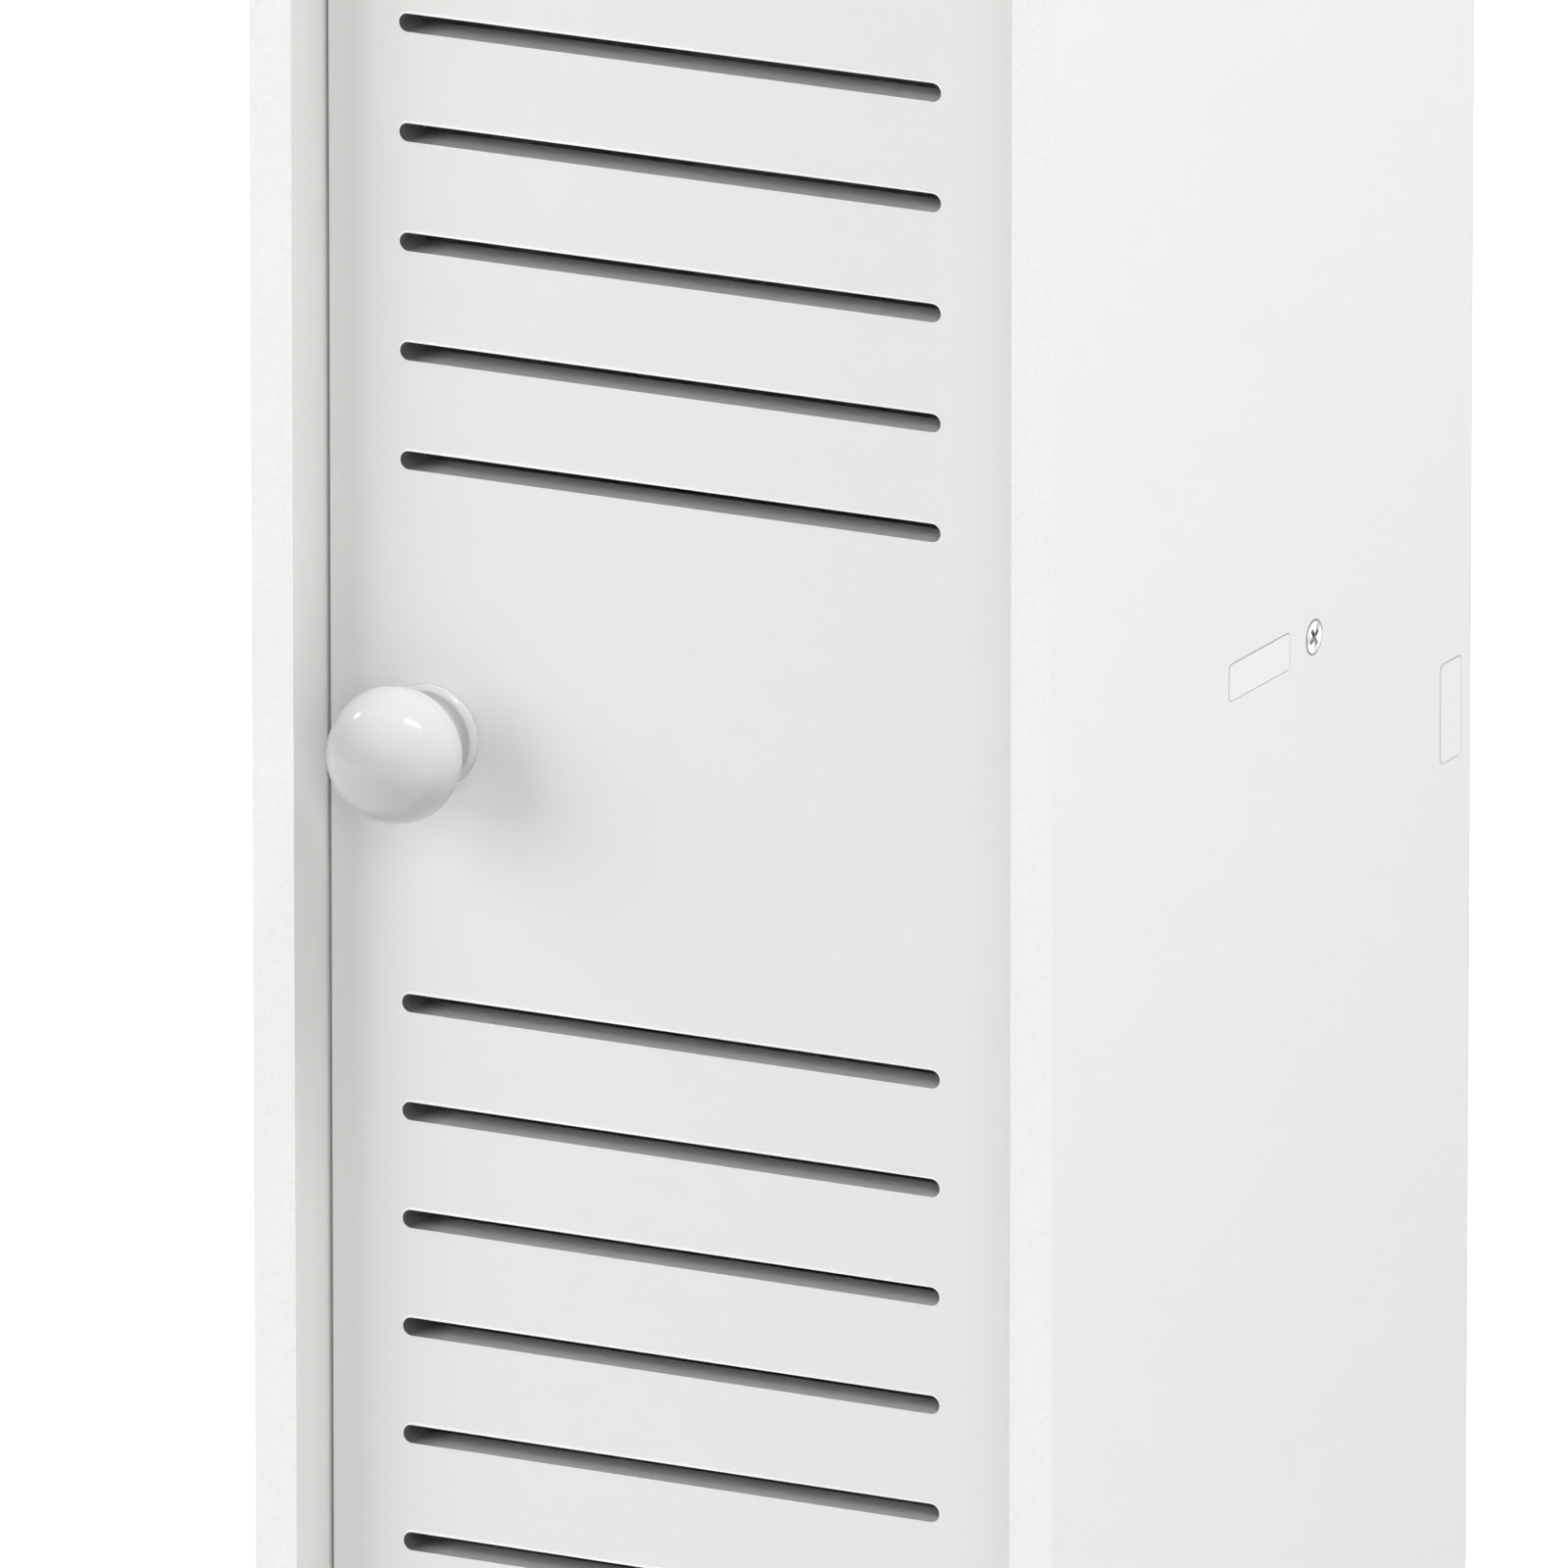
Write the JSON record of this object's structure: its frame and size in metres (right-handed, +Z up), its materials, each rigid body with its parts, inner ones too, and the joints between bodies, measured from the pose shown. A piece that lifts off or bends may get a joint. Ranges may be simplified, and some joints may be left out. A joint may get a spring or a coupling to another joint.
{
  "type": "louvred door cabinet",
  "caption": "Tall slim free-standing cabinet of tenoned white boards with an inset door of slotted louvres on pivot pins, loose shelves, a magnetic catch and a round knob.",
  "frame": {"origin": "on the floor, below the centre of the box round the whole closed cabinet, knob included", "axes": "+X to the right seen from the front, +Y to the back, +Z up"},
  "size_m": [0.2, 0.2266, 0.8],
  "materials": {
    "foam_board": "satin white PVC foam board with a fine matt skin",
    "glazed_ceramic": "glossy white glazed ceramic",
    "screw_steel": "bright zinc-plated steel",
    "white_nylon": "white nylon",
    "insert_brass": "plain brass",
    "dark_ferrite": "sintered ferrite magnet"
  },
  "bodies": {
    "carcass": {"right_side_panel": "foam_board", "left_side_panel": "foam_board", "top_panel": "foam_board", "bottom_panel": "foam_board", "middle_shelf": "foam_board", "lower_shelf": "foam_board", "upper_shelf": "foam_board", "back_panel": "foam_board", "kick_board": "foam_board", "side_screws": "screw_steel", "top_screws": "screw_steel", "back_screws": "screw_steel", "catch_screws": "screw_steel", "catch_pole_plates": "screw_steel", "shelf_pins": "white_nylon", "top_pivot_bush": "white_nylon", "bottom_pivot_bush": "white_nylon", "catch_housing": "white_nylon", "foot_glides": "white_nylon", "catch_magnet": "dark_ferrite"},
    "door": {"door_panel": "foam_board", "door_knob": "glazed_ceramic", "knob_insert": "insert_brass", "knob_washer": "screw_steel", "knob_screw": "screw_steel", "top_pivot_pin": "screw_steel", "bottom_pivot_pin": "screw_steel", "strike_plate": "screw_steel", "strike_screw": "screw_steel"}
  },
  "joints": [
    {"name": "door_hinge", "type": "hinge", "parent": "carcass", "child": "door", "pos_m": [0.0805, -0.0755, 0.0505], "axis": [0, 0, 1], "range_deg": [0, 95]}
  ]
}
